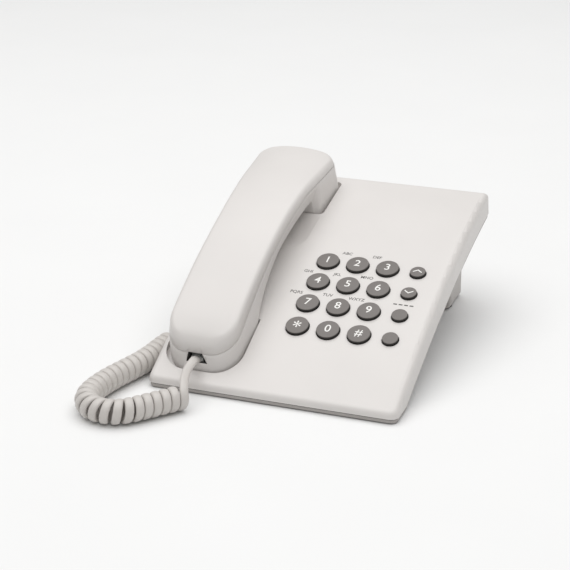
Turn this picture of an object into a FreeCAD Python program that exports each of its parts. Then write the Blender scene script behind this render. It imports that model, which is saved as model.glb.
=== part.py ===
import FreeCAD, Part
import math
import os
import re

import Sketcher
from FreeCAD import Placement, Rotation, Vector

# Corded landline phone.  Millimetres, +X right, +Y to the back, +Z up, floor at z = 0.
# The base is an arched slab: its top is part of a cylinder whose axis runs along X, so a place
# on it is given by x, y and a rise measured square to that arched top.

DIMENSIONS = {
    # arched top and belly of the base
    "arch_radius": 697.0, "arch_y": 215.4, "arch_z": -614.8, "belly_radius": 720.0, "belly_z": -655.8,
    # base slab
    "base_width": 150.0, "front_y": -100.0, "rear_top_y": 97.0, "rear_low_y": 100.0, "toe_y": -80.0,
    "ground_gap": 0.8, "wall": 2.4, "plate": 2.0, "joint_line": 0.3, "plate_inset": 0.6,
    "corner_radius": 5.0, "rear_corner": 2.0, "rim_radius": 3.8,
    # handset cradle
    "cradle_x": -47.5, "recess_depth": 3.5, "recess_gap": 0.8, "recess_floor": 2.2,
    "scoop_radius": 70.0, "scoop_y": 30.0, "scoop_depth": 2.2,
    # keypad
    "key_x": 0.0, "key_y": 2.6, "key_pitch_x": 18.75, "key_pitch_arc": 19.4,
    "key_radius": 6.8, "small_key_radius": 4.7, "key_rise": 2.2, "key_skirt": 1.2, "key_depth": 3.9,
    "key_stem": 2.0, "key_reach": 5.0, "key_gap": 0.45, "key_ledge": 1.1,
    "board_x": 27.0, "board_y": -25.0, "board_wide": 80.0, "board_long": 92.0, "board_thick": 1.6,
    "board_depth": 9.8, "membrane": 1.0, "dome_radius": 3.2, "dome_rise": 1.1,
    # case screws, their bosses and the feet
    "boss_radius": 3.4, "pilot_radius": 1.3, "screw_radius": 1.5, "head_radius": 2.8, "head_thick": 1.0,
    "foot_radius": 5.0, "foot_thick": 1.6,
    # stand
    "stand_width": 120.0, "stand_front_y": 66.0, "stand_rear_y": 95.6, "stand_wall": 2.2,
    "stand_clearance": 0.3, "stand_radius": 2.5,
    "keyhole_x": 41.5, "keyhole_y": 84.0, "keyhole_entry": 4.3, "keyhole_slot": 2.3, "keyhole_run": 9.0,
    # handset
    "crown": 27.5, "grip_under": 9.0, "sole": -3.2, "shell": 2.0, "shell_gap": 0.2,
    "ear_half": 27.3, "mouth_half": 22.8, "ear_end_y": 87.1, "ear_face_y": 49.7, "ear_lean": 0.187,
    "mouth_end_y": -91.0, "mouth_face_y": -53.0, "roll_y": -5.0, "roll_radius": 222.0,
    "split_ear": 17.0, "split_mouth_z": 21.0, "split_radius": 438.0, "mouth_corner": 15.0, "ear_corner": 6.5,
    "edge_round": 4.5, "notch_width": 11.0,
    # modular plugs and jacks of the handset cord
    "plug_wide": 7.6, "plug_tall": 6.4, "plug_long": 12.0, "jack_wide": 12.0, "jack_long": 12.0,
    "jack_x": -58.0, "jack_y": -24.0,
    # handset cord
    "cord_diameter": 5.0, "coil_diameter": 14.6,
}

doc = FreeCAD.newDocument("corded_phone")
dims = doc.addObject("Spreadsheet::Sheet", "dims")
for row, (alias, value) in enumerate(DIMENSIONS.items(), 1):
    dims.set(f"A{row}", alias)
    dims.set(f"B{row}", str(value))
    dims.setAlias(f"B{row}", alias)
doc.recompute()

finished = []


# ---------------------------------------------------------------- sizes and places

def size(expression):
    """Value of an expression written with the sheet's aliases."""
    return float(dims.evalExpression(str(expression)))


def bound(expression):
    """The same expression as another object has to write it, with the sheet's name."""
    def with_sheet(word):
        return f"dims.{word[0]}" if word[0] in DIMENSIONS else word[0]

    return re.sub(r"[a-z_]+", with_sheet, expression)


def arch_height(y, rise="0"):
    """Height of the curve that runs `rise` above the arched top, at this y."""
    return f"arch_z + sqrt(pow(arch_radius + ({rise}); 2) - pow(arch_y - ({y}); 2))"


def belly_height(y, rise="0"):
    """Height of the curve that runs `rise` above the underside's arch, at this y."""
    return f"belly_z + sqrt(pow(belly_radius + ({rise}); 2) - pow(arch_y - ({y}); 2))"


def arch_slope(y):
    """Slope of the arched top at this y, in degrees."""
    return math.degrees(math.asin((size("arch_y") - y) / size("arch_radius")))


def on_arch(x, y, along=0.0, rise=0.0):
    """Placement on the arched top above y, with local Z square to it and local Y up the slope."""
    tilt = Rotation(Vector(1, 0, 0), arch_slope(y))
    return Placement(Vector(x, y, size(arch_height(y))) + tilt.multVec(Vector(0, along, rise)), tilt)


def up_the_arch(y, arc):
    """The y that lies this arc length further up the arched top."""
    angle = math.radians(arch_slope(y)) - arc / size("arch_radius")
    return size("arch_y") - size("arch_radius") * math.sin(angle)


# ---------------------------------------------------------------- building blocks

def new_body(name):
    return doc.addObject("PartDesign::Body", name)


def new_sketch(body, plane, name):
    """Sketch on one of the body's own origin planes."""
    sketch = body.newObject("Sketcher::SketchObject", name)
    support = next(item for item in body.Origin.OriginFeatures if item.Role == plane)
    sketch.AttachmentSupport = [(support, "")]
    sketch.MapMode = "FlatFace"
    return sketch


def arc_through(start, end, radius):
    """Arc of a signed radius: positive turns left on the way from start to end."""
    chord = end - start
    left = Vector(-chord.y, chord.x, 0).normalize() * math.copysign(1, radius)
    centre = (start + end) * 0.5 + left * math.sqrt(radius ** 2 - chord.Length ** 2 / 4)
    first, last = (start, end) if radius > 0 else (end, start)
    angles = [math.atan2(point.y - centre.y, point.x - centre.x) for point in (first, last)]
    if angles[1] < angles[0]:
        angles[1] += 2 * math.pi
    return Part.ArcOfCircle(Part.Circle(centre, Vector(0, 0, 1), abs(radius)), *angles)


def outline(sketch, corners):
    """Closed outline. A corner is (x, y) or (x, y, radius of the arc that follows), as expressions."""
    places = [Vector(size(corner[0]), size(corner[1]), 0) for corner in corners]
    starts, ends = [], []
    for number, corner in enumerate(corners):
        start, end = places[number], places[(number + 1) % len(corners)]
        if len(corner) == 2:
            side = sketch.addGeometry(Part.LineSegment(start, end), False)
        else:
            side = sketch.addGeometry(arc_through(start, end, size(corner[2])), False)
        backwards = len(corner) == 3 and size(corner[2]) < 0
        starts.append((side, 2 if backwards else 1))
        ends.append((side, 1 if backwards else 2))
    for number, corner in enumerate(corners):
        sketch.addConstraint(Sketcher.Constraint("Coincident", *ends[number - 1], *starts[number]))
        for kind, position, expression in (("DistanceX", places[number].x, corner[0]),
                                           ("DistanceY", places[number].y, corner[1])):
            bind(sketch, Sketcher.Constraint(kind, *starts[number], position), expression)
        if len(corner) == 3:
            radius = abs(size(corner[2]))
            bind(sketch, Sketcher.Constraint("Radius", starts[number][0], radius), f"abs({corner[2]})")


def bind(sketch, constraint, expression):
    number = sketch.addConstraint(constraint)
    sketch.setExpression(f"Constraints[{number}]", bound(str(expression)))


def rectangle(sketch, x_low, y_low, x_high, y_high):
    outline(sketch, [(x_low, y_low), (x_high, y_low), (x_high, y_high), (x_low, y_high)])


def sweep_out(body, kind, sketch, length="400", sides="Symmetric", backwards=False):
    """Pad or Pocket of a sketch; a pocket has to take material away."""
    before = body.Tip.Shape.Volume if kind == "Pocket" else 0.0
    feature = body.newObject(f"PartDesign::{kind}", f"{sketch.Name}_{kind.lower()}")
    feature.Profile = sketch
    feature.SideType = sides
    feature.Reversed = backwards
    feature.setExpression("Length", bound(length))
    sketch.Visibility = False
    doc.recompute()
    if kind == "Pocket" and not feature.Shape.Volume < before - 1e-3:
        raise RuntimeError(f"{feature.Name} cuts nothing")
    return feature


def round_edges(body, radius, chosen, tag=""):
    """Fillet of the edges of the body's tip that `chosen` picks."""
    base = body.Tip
    names = [f"Edge{number}" for number, edge in enumerate(base.Shape.Edges, 1) if chosen(edge)]
    if not names:
        raise RuntimeError(f"{body.Name} has no edge to round")
    feature = body.newObject("PartDesign::Fillet", f"{body.Name}_fillet{tag}")
    feature.Base = (base, names)
    feature.setExpression("Radius", bound(radius))
    doc.recompute()
    return feature


def middle(edge):
    return edge.valueAt((edge.FirstParameter + edge.LastParameter) / 2)


def runs_along(edge, axis, slack=0.02):
    """True for an edge whose two ends lie along this direction."""
    ends = [vertex.Point for vertex in edge.Vertexes]
    if len(ends) < 2 or (ends[1] - ends[0]).Length < 1e-6:
        return False
    heading = (ends[1] - ends[0]).normalize()
    straight = abs(edge.Length - (ends[1] - ends[0]).Length) < 0.01
    return straight and abs(abs(heading.dot(axis)) - 1) < slack


def primitive(kind, name, placement=None, **sizes):
    """Part primitive with sizes bound to the sheet."""
    solid = doc.addObject(f"Part::{kind}", name)
    for key, expression in sizes.items():
        solid.setExpression(key, bound(str(expression)))
    if placement is not None:
        solid.Placement = placement
    return solid


def block(name, wide, long, tall, placement, x="0", y="0", z="0"):
    """Box centred on x and y in a local frame, standing on z."""
    corner = Vector(size(x) - size(wide) / 2, size(y) - size(long) / 2, size(z))
    place = placement.multiply(Placement(corner, Rotation()))
    return primitive("Box", name, place, Length=wide, Width=long, Height=tall)


def rod(name, radius, tall, placement, x="0", y="0", z="0"):
    """Cylinder along local Z, standing on z."""
    place = placement.multiply(Placement(Vector(size(x), size(y), size(z)), Rotation()))
    return primitive("Cylinder", name, place, Radius=radius, Height=tall)


def fuse(name, pieces):
    if len(pieces) == 1:
        return pieces[0]
    joined = doc.addObject("Part::MultiFuse", name)
    joined.Shapes = pieces
    return joined


def cut(name, base, tools):
    remaining = doc.addObject("Part::Cut", name)
    remaining.Base = base
    remaining.Tool = fuse(f"{name}_tools", tools)
    return remaining


def finish(item, label, x=None):
    """Name a sub-part and put it in place."""
    item.Label = label
    if x is not None:
        item.Placement = Placement(Vector(size(x), 0, 0), Rotation())
    finished.append(item)
    return item


def group(label, pieces):
    """One sub-part of several separate solids."""
    together = doc.addObject("Part::Compound", label)
    together.Links = pieces
    return finish(together, label)


# ---------------------------------------------------------------- base

def upper_slab():
    """Outer form of the upper case: arched top, rounded nose, four rounded corners."""
    body = new_body("upper_slab")
    low = "ground_gap + plate + joint_line"
    side = new_sketch(body, "YZ_Plane", "upper_side")
    outline(side, [
        ("front_y", low),
        ("front_y", arch_height("front_y"), "-arch_radius"),
        ("rear_top_y", arch_height("rear_top_y")),
        ("rear_low_y", f"{belly_height('rear_low_y')} + plate + joint_line", "belly_radius"),
        ("toe_y", low),
    ])
    sweep_out(body, "Pad", side, "base_width")
    half = size("base_width / 2")
    for radius, front, tag in (("corner_radius", True, "_corners"), ("rear_corner", False, "_rear")):
        round_edges(body, radius, lambda edge: runs_along(edge, Vector(0, 0, 1), 0.05)
                    and abs(abs(middle(edge).x) - half) < 0.1 and (middle(edge).y < 0) == front, tag=tag)
    round_edges(body, "rim_radius", lambda edge: runs_along(edge, Vector(1, 0, 0))
                and abs(middle(edge).y - size("front_y")) < 0.1 and middle(edge).z > 5, tag="_rim")
    return body


def plan_prism(name, corners):
    """Upright prism over a plan outline, tall enough to pass the whole slab."""
    body = new_body(name)
    plan = new_sketch(body, "XY_Plane", f"{name}_plan")
    outline(plan, corners)
    sweep_out(body, "Pad", plan, "140", "One side")
    return body


def axis_cylinder(name, y, z, radius):
    """Long cylinder whose axis runs along X."""
    place = Placement(Vector(-200, size(y), size(z)), Rotation(Vector(0, 1, 0), 90))
    return primitive("Cylinder", name, place, Radius=radius, Height="400")


def recess(name, corners, depth):
    """Upright recess whose floor follows the arch at this depth."""
    core = axis_cylinder(f"{name}_core", "arch_y", "arch_z", f"arch_radius - ({depth})")
    return cut(name, plan_prism(f"{name}_prism", corners), [core])


def mouth_recess(name, margin, depth):
    side = f"mouth_half + 0.4 + {margin}"
    front = f"mouth_end_y - {margin}"
    rear = f"mouth_face_y + 2 + {margin}"
    corner = f"mouth_corner + {margin}"
    return recess(name, [
        (f"cradle_x - ({side})", rear),
        (f"cradle_x - ({side})", f"{front} + {corner}", corner),
        (f"cradle_x - ({side}) + {corner}", front),
        (f"cradle_x + {side} - ({corner})", front, corner),
        (f"cradle_x + {side}", f"{front} + {corner}"),
        (f"cradle_x + {side}", rear),
    ], depth)


def ear_recess(name, margin, depth):
    """The ear recess runs out through the left side of the slab."""
    right = f"cradle_x + ear_half + {margin}"
    front = f"ear_face_y - 0.7 - {margin}"
    rear = f"ear_end_y + {margin}"
    return recess(name, [
        ("-base_width / 2 - 5", front),
        (f"{right} - 3.5", front, "3.5"),
        (right, f"{front} + 3.5"),
        (right, f"{rear} - 3.5", "3.5"),
        (f"{right} - 3.5", rear),
        ("-base_width / 2 - 5", rear),
    ], depth)


def finger_scoop(name, extra):
    """Shallow hollow under the grip, cut by a cylinder that lies across the slab."""
    right, front, rear = "cradle_x + ear_half", "scoop_y - 18", "ear_face_y - 1.0"
    prism = plan_prism(f"{name}_prism", [
        ("-base_width / 2 - 5", front), (f"{right} - 12", front, "12"), (right, f"{front} + 12"),
        (right, rear), ("-base_width / 2 - 5", rear)])
    slope = "asin((arch_y - scoop_y) / arch_radius)"
    rise = "(scoop_radius - scoop_depth)"
    roller = axis_cylinder(f"{name}_roller", f"scoop_y - {rise} * sin({slope})",
                           f"{arch_height('scoop_y')} + {rise} * cos({slope})", f"scoop_radius + {extra}")
    hollow = doc.addObject("Part::Common", name)
    hollow.Base, hollow.Tool = prism, roller
    return hollow


def key_places():
    """Name, x, y and cap radius of every key, from the top row down."""
    names = [["key_1", "key_2", "key_3", "key_volume_up"], ["key_4", "key_5", "key_6", "key_volume_down"],
             ["key_7", "key_8", "key_9", "key_flash"], ["key_star", "key_0", "key_hash", "key_redial"]]
    for row, row_names in enumerate(names):
        y = up_the_arch(size("key_y"), -row * size("key_pitch_arc"))
        for column, name in enumerate(row_names):
            radius = "small_key_radius" if column == 3 else "key_radius"
            yield name, size("key_x") + column * size("key_pitch_x"), y, radius


CASE_SCREWS = [(-68.0, -74.0), (68.0, -74.0), (-64.0, 24.0), (66.0, 60.0)]
BOARD_SCREWS = [(-9.0, -58.0), (62.5, -58.0), (-9.0, 14.5), (62.5, 14.5)]


def plate_depth(y):
    """Depth of the lower plate's inner face below the arched top, square to the top."""
    drop = size(arch_height(y)) - size(belly_height(y)) - size("plate")
    return drop * math.cos(math.radians(arch_slope(y)))


def upper_case():
    """Upper case: a hollow arched slab with the cradle, the key holes and the rear openings."""
    hollow = new_body("case_hollow")
    side = new_sketch(hollow, "YZ_Plane", "hollow_side")
    outline(side, [
        ("front_y + wall", "-1"),
        ("front_y + wall", arch_height("front_y + wall", "-wall"), "-(arch_radius - wall)"),
        ("rear_top_y - wall", arch_height("rear_top_y - wall", "-wall")),
        ("rear_low_y - wall", "-1"),
    ])
    sweep_out(hollow, "Pad", side, "base_width - 2 * wall")
    floors = [mouth_recess("mouth_floor", "2 + recess_gap", "recess_depth + recess_floor"),
              ear_recess("ear_floor", "2 + recess_gap", "recess_depth + recess_floor"),
              finger_scoop("scoop_floor", "recess_floor")]
    shell = cut("case_shell", upper_slab(), [cut("case_space", hollow, floors)])

    bosses, openings = [], []
    for number, (x, y) in enumerate(CASE_SCREWS):
        depth = plate_depth(y) - 1.2
        place = on_arch(x, y)
        bosses.append(rod(f"case_boss_{number}", "boss_radius", depth - 1.0, place, z=-depth))
        openings.append(rod(f"case_pilot_{number}", "pilot_radius", depth - 6.6, place, z=-depth - 0.5))
    frame = on_arch(size("board_x"), size("board_y"))
    for number, (x, y) in enumerate(BOARD_SCREWS):
        local = frame.inverse().multVec(Vector(x, y, size(arch_height(y))))
        place = frame.multiply(Placement(Vector(local.x, local.y, -size("board_depth")), Rotation()))
        reach = size("board_depth") + local.z - 1.2
        bosses.append(rod(f"board_boss_{number}", "3.0", reach, place))
        openings.append(rod(f"board_pilot_{number}", "1.0", "5", place, z="-0.5"))
    solid = fuse("case_with_bosses", [shell] + bosses)

    for name, x, y, radius in key_places():
        openings.append(rod(f"{name}_hole", f"{radius} + key_gap", "9", on_arch(x, y), z="-6"))
    openings.append(mouth_recess("mouth_pocket", "recess_gap", "recess_depth"))
    openings.append(ear_recess("ear_pocket", "recess_gap", "recess_depth"))
    openings.append(finger_scoop("scoop_pocket", "0"))
    openings.append(block("plunger_hole", "8.0", "4.8", "12", on_arch(PLUNGER_X, PLUNGER_Y), z="-14"))
    openings.append(block("hanger_hole", "11.4", "3.2", "12", on_arch(size("cradle_x"), HANGER_Y), z="-5"))
    rear = on_arch(0, REAR_Y)
    openings.append(block("line_hole", "12.4", "20", "9.0", rear, x=LINE_JACK_X, y="8", z="-12.4"))
    for name, x in SWITCHES:
        openings.append(block(f"{name}_hole", "9.0", "20", "3.2", rear, x=x, y="8", z="-9.6"))
    finish(cut("upper_case_solid", solid, openings), "upper_case")


REAR_Y = 90.0
LINE_JACK_X = 22.0
SWITCHES = [("ringer_switch", 44.0), ("dial_mode_switch", 60.0)]
PLUNGER_X, PLUNGER_Y = -30.0, 60.0
HANGER_Y = 43.0


def lower_case():
    """Lower case: a plate that follows the belly, with a pocket for the handset-cord jack."""
    body = new_body("lower_plate")
    front, rear = "front_y + plate_inset", "rear_low_y - plate_inset"
    side = new_sketch(body, "YZ_Plane", "plate_side")
    outline(side, [
        (front, "ground_gap"),
        (front, "ground_gap + plate"),
        ("toe_y", "ground_gap + plate", "-belly_radius"),
        (rear, f"{belly_height(rear)} + plate"),
        (rear, belly_height(rear), "belly_radius"),
        ("toe_y", "ground_gap"),
    ])
    sweep_out(body, "Pad", side, "base_width - 2 * plate_inset")
    half = size("base_width / 2 - plate_inset")
    for radius, front, tag in (("corner_radius", True, "_corners"), ("rear_corner", False, "_rear")):
        round_edges(body, f"{radius} - plate_inset", lambda edge: runs_along(edge, Vector(0, 0, 1))
                    and abs(abs(middle(edge).x) - half) < 0.1 and (middle(edge).y < 0) == front, tag=tag)

    frame = on_arch(size("jack_x"), size("jack_y"))
    cup = block("jack_cup", "18.2", "31.6", "9.6", frame, x="-2", y="-6.2", z="-14.4")
    rim = [rod(f"screw_cup_{number}", "4.6", "1.8", on_arch(x, y), z=-plate_depth(y) - 0.9)
           for number, (x, y) in enumerate(CASE_SCREWS)]
    solid = fuse("plate_with_cups", [body, cup] + rim)

    openings = [block("jack_pocket", "15.0", "28.4", "30", frame, x="-2", y="-6.2", z="-36.4"),
                block("jack_mouth", "plug_wide + 0.8", "6", "plug_tall + 0.8", frame, y="9", z="-12.6")]
    for number, (x, y) in enumerate(CASE_SCREWS):
        place = on_arch(x, y)
        low = -plate_depth(y)
        openings.append(rod(f"screw_hole_{number}", "screw_radius + 0.2", "8", place, z=low - 4))
        openings.append(rod(f"screw_sink_{number}", "head_radius + 0.3", "6", place, z=low - 7.4))
    for number in range(7):
        openings.append(block(f"sound_slot_{number}", "1.8", "20", "12", on_arch(20.0 + 4.0 * number, 48.0),
                              z="-24"))
    for number, x in enumerate((-45.0, 45.0)):
        openings.append(block(f"tab_slot_{number}", "14.6", "3.6", "14", on_arch(x, TAB_Y), z="-24"))
    for number, x in enumerate((-FRONT_FOOT[0], FRONT_FOOT[0])):
        place = Placement(Vector(x, FRONT_FOOT[1], 0), Rotation())
        openings.append(rod(f"front_foot_sink_{number}", "foot_radius + 0.2", "foot_thick + 0.05", place))
    finish(cut("lower_case_solid", solid, openings), "lower_case")


TAB_Y = 76.0
FRONT_FOOT = (60.0, -88.5)
REAR_FOOT = (54.0, 74.2)


def wall_stand():
    """Hollow wedge under the rear edge, with two keyholes and two tabs into the lower plate."""
    body = new_body("stand_shell")

    def under(y):
        return f"{belly_height(y)} - stand_clearance"

    side = new_sketch(body, "YZ_Plane", "stand_side")
    outline(side, [
        ("stand_front_y + stand_radius", "ground_gap"),
        ("stand_rear_y", "ground_gap"),
        ("stand_rear_y", under("stand_rear_y"), "belly_radius - stand_clearance"),
        ("stand_front_y", under("stand_front_y")),
        ("stand_front_y", "ground_gap + stand_radius", "stand_radius"),
    ])
    sweep_out(body, "Pad", side, "stand_width")
    half = size("stand_width / 2")
    round_edges(body, "3", lambda edge: runs_along(edge, Vector(0, 0, 1))
                and abs(abs(middle(edge).x) - half) < 0.1, tag="_corners")
    inside = new_sketch(body, "YZ_Plane", "stand_inside")
    rectangle(inside, "stand_front_y + stand_wall", "ground_gap + stand_wall",
              "stand_rear_y - stand_wall", "80")
    sweep_out(body, "Pocket", inside, "stand_width - 2 * stand_wall")

    openings, extras = [], []
    for number, x in enumerate((-size("keyhole_x"), size("keyhole_x"))):
        place = Placement(Vector(x, size("keyhole_y"), -1), Rotation())
        openings.append(rod(f"keyhole_entry_{number}", "keyhole_entry", "6", place))
        openings.append(block(f"keyhole_slot_{number}", "2 * keyhole_slot", "keyhole_run", "6", place,
                              y="-keyhole_run / 2"))
        openings.append(rod(f"keyhole_end_{number}", "keyhole_slot", "6", place, y="-keyhole_run"))
    for number, x in enumerate((-REAR_FOOT[0], REAR_FOOT[0])):
        place = Placement(Vector(x, REAR_FOOT[1], 0), Rotation())
        openings.append(rod(f"rear_foot_sink_{number}", "foot_radius + 0.2", "foot_thick + 0.05", place))
    low = size(belly_height(str(TAB_Y)))
    for number, x in enumerate((-45.0, 45.0)):
        place = on_arch(x, TAB_Y)
        depth = plate_depth(TAB_Y)
        extras.append(block(f"stand_tab_{number}", "14", "3.0", "6", place, z=-depth - 4.0))
        base = Placement(Vector(x, 0, low), Rotation())
        extras.append(block(f"stand_rib_{number}", "14", "22", "3.0", base, y=f"{TAB_Y} + 7.5", z="-4.4"))
    trimmed = cut("stand_trim", fuse("stand_with_tabs", [body] + extras), openings)
    finish(trimmed, "wall_stand")


def rubber_feet():
    pads = []
    for name, (x, y) in (("front", FRONT_FOOT), ("rear", REAR_FOOT)):
        for side, hand in ((-1, "left"), (1, "right")):
            place = Placement(Vector(side * x, y, 0), Rotation())
            pads.append(rod(f"{name}_foot_{hand}", "foot_radius", "foot_thick", place))
    group("rubber_feet", pads)


def turned(name, corners, placement):
    """Solid turned about its own Z from a half section in the XZ plane."""
    body = new_body(name)
    section = new_sketch(body, "XZ_Plane", f"{name}_section")
    outline(section, corners)
    feature = body.newObject("PartDesign::Revolution", f"{name}_turned")
    feature.Profile = section
    feature.ReferenceAxis = (section, ["V_Axis"])
    feature.Angle = 360
    section.Visibility = False
    body.Placement = placement
    return body


def keys():
    """Round domed keys: cap, retaining skirt under the case and a short stem above its dome."""
    for name, x, y, radius in key_places():
        body = turned(name, [
            ("0", "-key_reach"), ("key_stem", "-key_reach"), ("key_stem", "-key_depth"),
            (f"{radius} + key_ledge", "-key_depth"), (f"{radius} + key_ledge", "key_skirt - key_depth"),
            (radius, "key_skirt - key_depth"), (radius, "key_rise - 1.1", "0.7"),
            (f"{radius} - 0.7", "key_rise - 0.4"), (f"{radius} / 2", "key_rise"),
            ("0", "key_rise"),
        ], on_arch(x, y))
        finish(body, name)


def keypad_membrane():
    """Rubber sheet on the board with one low dome under each key."""
    frame = on_arch(size("board_x"), size("board_y"))
    sheet = block("membrane_sheet", "board_wide - 10", "78", "membrane", frame, y="-1", z="-board_depth")
    domes = []
    for name, x, y, _ in key_places():
        local = frame.inverse().multVec(Vector(x, y, size(arch_height(str(y)))))
        place = frame.multiply(Placement(Vector(local.x, local.y, -size("board_depth")), Rotation()))
        domes.append(primitive("Cone", f"{name}_dome", place, Radius1="dome_radius",
                               Radius2="dome_radius - 1", Height="membrane + dome_rise"))
    trims = []
    for number, (x, y) in enumerate(BOARD_SCREWS):
        local = frame.inverse().multVec(Vector(x, y, size(arch_height(str(y)))))
        place = frame.multiply(Placement(Vector(local.x, local.y, -size("board_depth")), Rotation()))
        trims.append(rod(f"membrane_clear_{number}", "3.6", "6", place, z="-1"))
    finish(cut("membrane_solid", fuse("membrane_domed", [sheet] + domes), trims), "keypad_membrane")


def main_board():
    frame = on_arch(size("board_x"), size("board_y"))
    slab = block("board_slab", "board_wide", "board_long", "board_thick", frame, y="3",
                 z="-board_depth - board_thick")
    holes = []
    for number, (x, y) in enumerate(BOARD_SCREWS):
        local = frame.inverse().multVec(Vector(x, y, size(arch_height(str(y)))))
        place = frame.multiply(Placement(Vector(local.x, local.y, -size("board_depth")), Rotation()))
        holes.append(rod(f"board_hole_{number}", "1.4", "6", place, z="-3"))
    finish(cut("board_solid", slab, holes), "main_board")


def board_screws():
    frame = on_arch(size("board_x"), size("board_y"))
    screws = []
    for number, (x, y) in enumerate(BOARD_SCREWS):
        local = frame.inverse().multVec(Vector(x, y, size(arch_height(str(y)))))
        depth = size("board_depth + board_thick")
        place = frame.multiply(Placement(Vector(local.x, local.y, -depth), Rotation()))
        head = rod(f"board_screw_head_{number}", "2.4", "1.0", place, z="-1.0")
        shank = rod(f"board_screw_shank_{number}", "1.0", "5.6", place)
        screws.append(fuse(f"board_screw_{number}", [head, shank]))
    group("board_screws", screws)


def case_screws():
    screws = []
    for number, (x, y) in enumerate(CASE_SCREWS):
        low = -plate_depth(y)
        place = on_arch(x, y)
        head = rod(f"case_screw_head_{number}", "head_radius", "head_thick", place, z=low - 1.4 - 1.0)
        shank = rod(f"case_screw_shank_{number}", "pilot_radius", "6.6", place, z=low - 1.4)
        screws.append(fuse(f"case_screw_{number}", [head, shank]))
    group("case_screws", screws)


def socket(name, wide, long, tall, hole_wide, hole_tall, hole_deep, frame, y, z, facing):
    """Modular jack: a block with a rectangular mouth at its front (facing -1) or rear (facing 1) end."""
    housing = block(f"{name}_housing", wide, long, tall, frame, y=y, z=z)
    mouth_y = f"{y} + {facing} * (({long}) - ({hole_deep}) + 1) / 2"
    mouth = block(f"{name}_mouth", hole_wide, f"({hole_deep}) + 1", hole_tall, frame, y=mouth_y,
                  z=f"{z} + (({tall}) - ({hole_tall})) / 2")
    return finish(cut(f"{name}_solid", housing, [mouth]), name)


def plug(name, frame, y, z):
    """Modular plug: a clear block with its latch arm on top; y is the middle of the block."""
    body = block(f"{name}_block", "plug_wide", "plug_long", "plug_tall - 1.2", frame, y=y, z=z)
    latch = block(f"{name}_latch", "3.0", "plug_long - 2", "1.2", frame, y=y, z=f"{z} + plug_tall - 1.2")
    return finish(fuse(f"{name}_solid", [body, latch]), name)


def rear_fittings():
    """Line jack and the two slide switches behind the rear wall."""
    rear = on_arch(0, REAR_Y)
    frame = on_arch(LINE_JACK_X, REAR_Y)
    socket("line_jack", "11.6", "13.2", "8.4", "9.4", "6.4", "10", frame, "1.0", "-12.1", 1)
    for name, x in SWITCHES:
        body = block(f"{name}_case", "11.6", "4.0", "6.0", rear, x=x, y="-1.2", z="-11.0")
        finish(body, f"{name}_body")
        stem = block(f"{name}_stem", "3.4", "7.2", "2.6", rear, x=x - 2.0, y="4.6", z="-9.3")
        finish(stem, f"{name}_slider")


def hook_parts():
    """Hook plunger in the ear recess with its snap switch below, and the reversible hanger tab."""
    place = on_arch(PLUNGER_X, PLUNGER_Y)
    stem = block("plunger_stem", "7.0", "4.0", "7.6", place, z="sole - 0.1 - 7.6")
    flange = block("plunger_flange", "9.6", "6.6", "1.0", place, z="sole - 0.1 - 7.6")
    finish(fuse("plunger_solid", [stem, flange]), "hook_plunger")
    depth = plate_depth(PLUNGER_Y)
    finish(block("switch_block", "12.8", "6.0", f"{depth} - 11.4", place, z=f"-{depth} + 0.2"), "hook_switch")
    hanger = on_arch(size("cradle_x"), HANGER_Y)
    blade = block("hanger_blade", "10.8", "2.6", "6.4", hanger, z="-scoop_depth - 2.4")
    nose = block("hanger_nose", "6.0", "2.0", "2.2", hanger, y="-0.3", z="-scoop_depth + 1.0")
    finish(cut("hanger_solid", blade, [nose]), "hanger_tab")


def ringer():
    depth = plate_depth(48.0)
    place = on_arch(32.0, 48.0)
    cup = rod("ringer_cup", "15.0", "5.0", place, z=f"-{depth} + 0.2")
    well = rod("ringer_well", "13.0", "3.0", place, z=f"-{depth} + 0.1")
    finish(cut("ringer_solid", cup, [well]), "ringer_buzzer")
    finish(rod("ringer_disc", "12.6", "0.6", place, z=f"-{depth} + 2.4"), "ringer_diaphragm")


# ---------------------------------------------------------------- handset

ROLL_CENTRE_Y = "(roll_y - roll_radius * (roll_y - arch_y) / (arch_radius + crown))"
ROLL_START_Z = arch_height("roll_y", "crown")
ROLL_CENTRE_Z = f"({ROLL_START_Z} - roll_radius * ({ROLL_START_Z} - arch_z) / (arch_radius + crown))"


def roll_height(y, inset="0"):
    """Height of the mouth end's roll-off, at this y."""
    return f"{ROLL_CENTRE_Z} + sqrt(pow(roll_radius - ({inset}); 2) - pow({ROLL_CENTRE_Y} - ({y}); 2))"


def ear_wall(rise):
    """The y of the leaning ear end wall at this rise."""
    return f"ear_end_y - (({rise}) - sole) * ear_lean"


def taper(body, name):
    """Cut the handset to its plan: tapered sides and two large corners at the mouth end."""
    plan = new_sketch(body, "XY_Plane", name)
    lean = "(ear_half - mouth_half) / 175"
    corner_y = "mouth_end_y + mouth_corner"
    middle_x = f"mouth_half + ({corner_y} + 87) * {lean} - mouth_corner"
    side_x = f"{middle_x} + mouth_corner"
    rear = f"ear_half + 13 * {lean}"
    rectangle(plan, "-45", "-120", "45", "120")
    outline(plan, [
        (f"-({middle_x})", "mouth_end_y"),
        (middle_x, "mouth_end_y", "mouth_corner"),
        (side_x, corner_y),
        (rear, "100"),
        (f"-({rear})", "100"),
        (f"-({side_x})", corner_y, "mouth_corner"),
    ])
    sweep_out(body, "Pocket", plan)


def hollow(name, corners):
    """Space inside a handset shell, rounded to follow the mouth end's corners."""
    body = new_body(name)
    side = new_sketch(body, "YZ_Plane", f"{name}_side")
    outline(side, corners)
    sweep_out(body, "Pad", side, "2 * (mouth_half - shell - 0.6)")
    round_edges(body, "mouth_corner - shell", lambda edge: runs_along(edge, Vector(0, 0, 1))
                and middle(edge).y < -80, tag="_mouth")
    return body


def leaning(edge):
    """Edges that run up the ear end's wall."""
    return runs_along(edge, Vector(0, 0, 1), 0.05) and middle(edge).y > 75


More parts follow.
